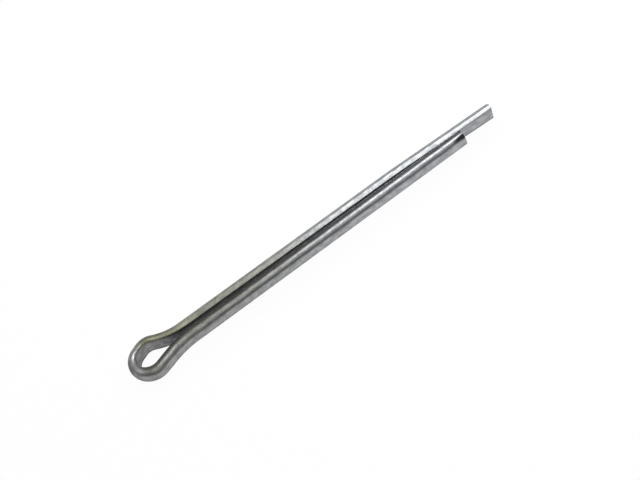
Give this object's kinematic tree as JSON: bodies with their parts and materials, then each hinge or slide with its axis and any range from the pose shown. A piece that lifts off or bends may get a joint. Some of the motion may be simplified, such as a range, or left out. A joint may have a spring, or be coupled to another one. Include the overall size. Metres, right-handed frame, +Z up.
{
  "type": "cotter pin",
  "caption": "Extended-prong cotter pin of half-round steel wire, folded into a teardrop eye and a split shank with one leg longer than the other.",
  "frame": {"origin": "on the shank's axis, where the throat of the eye ends and the straight shank begins", "axes": "+X along the shank from the eye to the tips, Y across the legs in the plane of the eye with the long leg on the +Y side, +Z up from the surface that the pin lies on"},
  "size_m": [0.0627, 0.0066, 0.003],
  "materials": {
    "zinc_plated_steel": "bright zinc plate over drawn low-carbon steel wire, with fine drawing lines along it"
  },
  "bodies": {
    "root": {"cotter_pin": "zinc_plated_steel"}
  },
  "joints": []
}
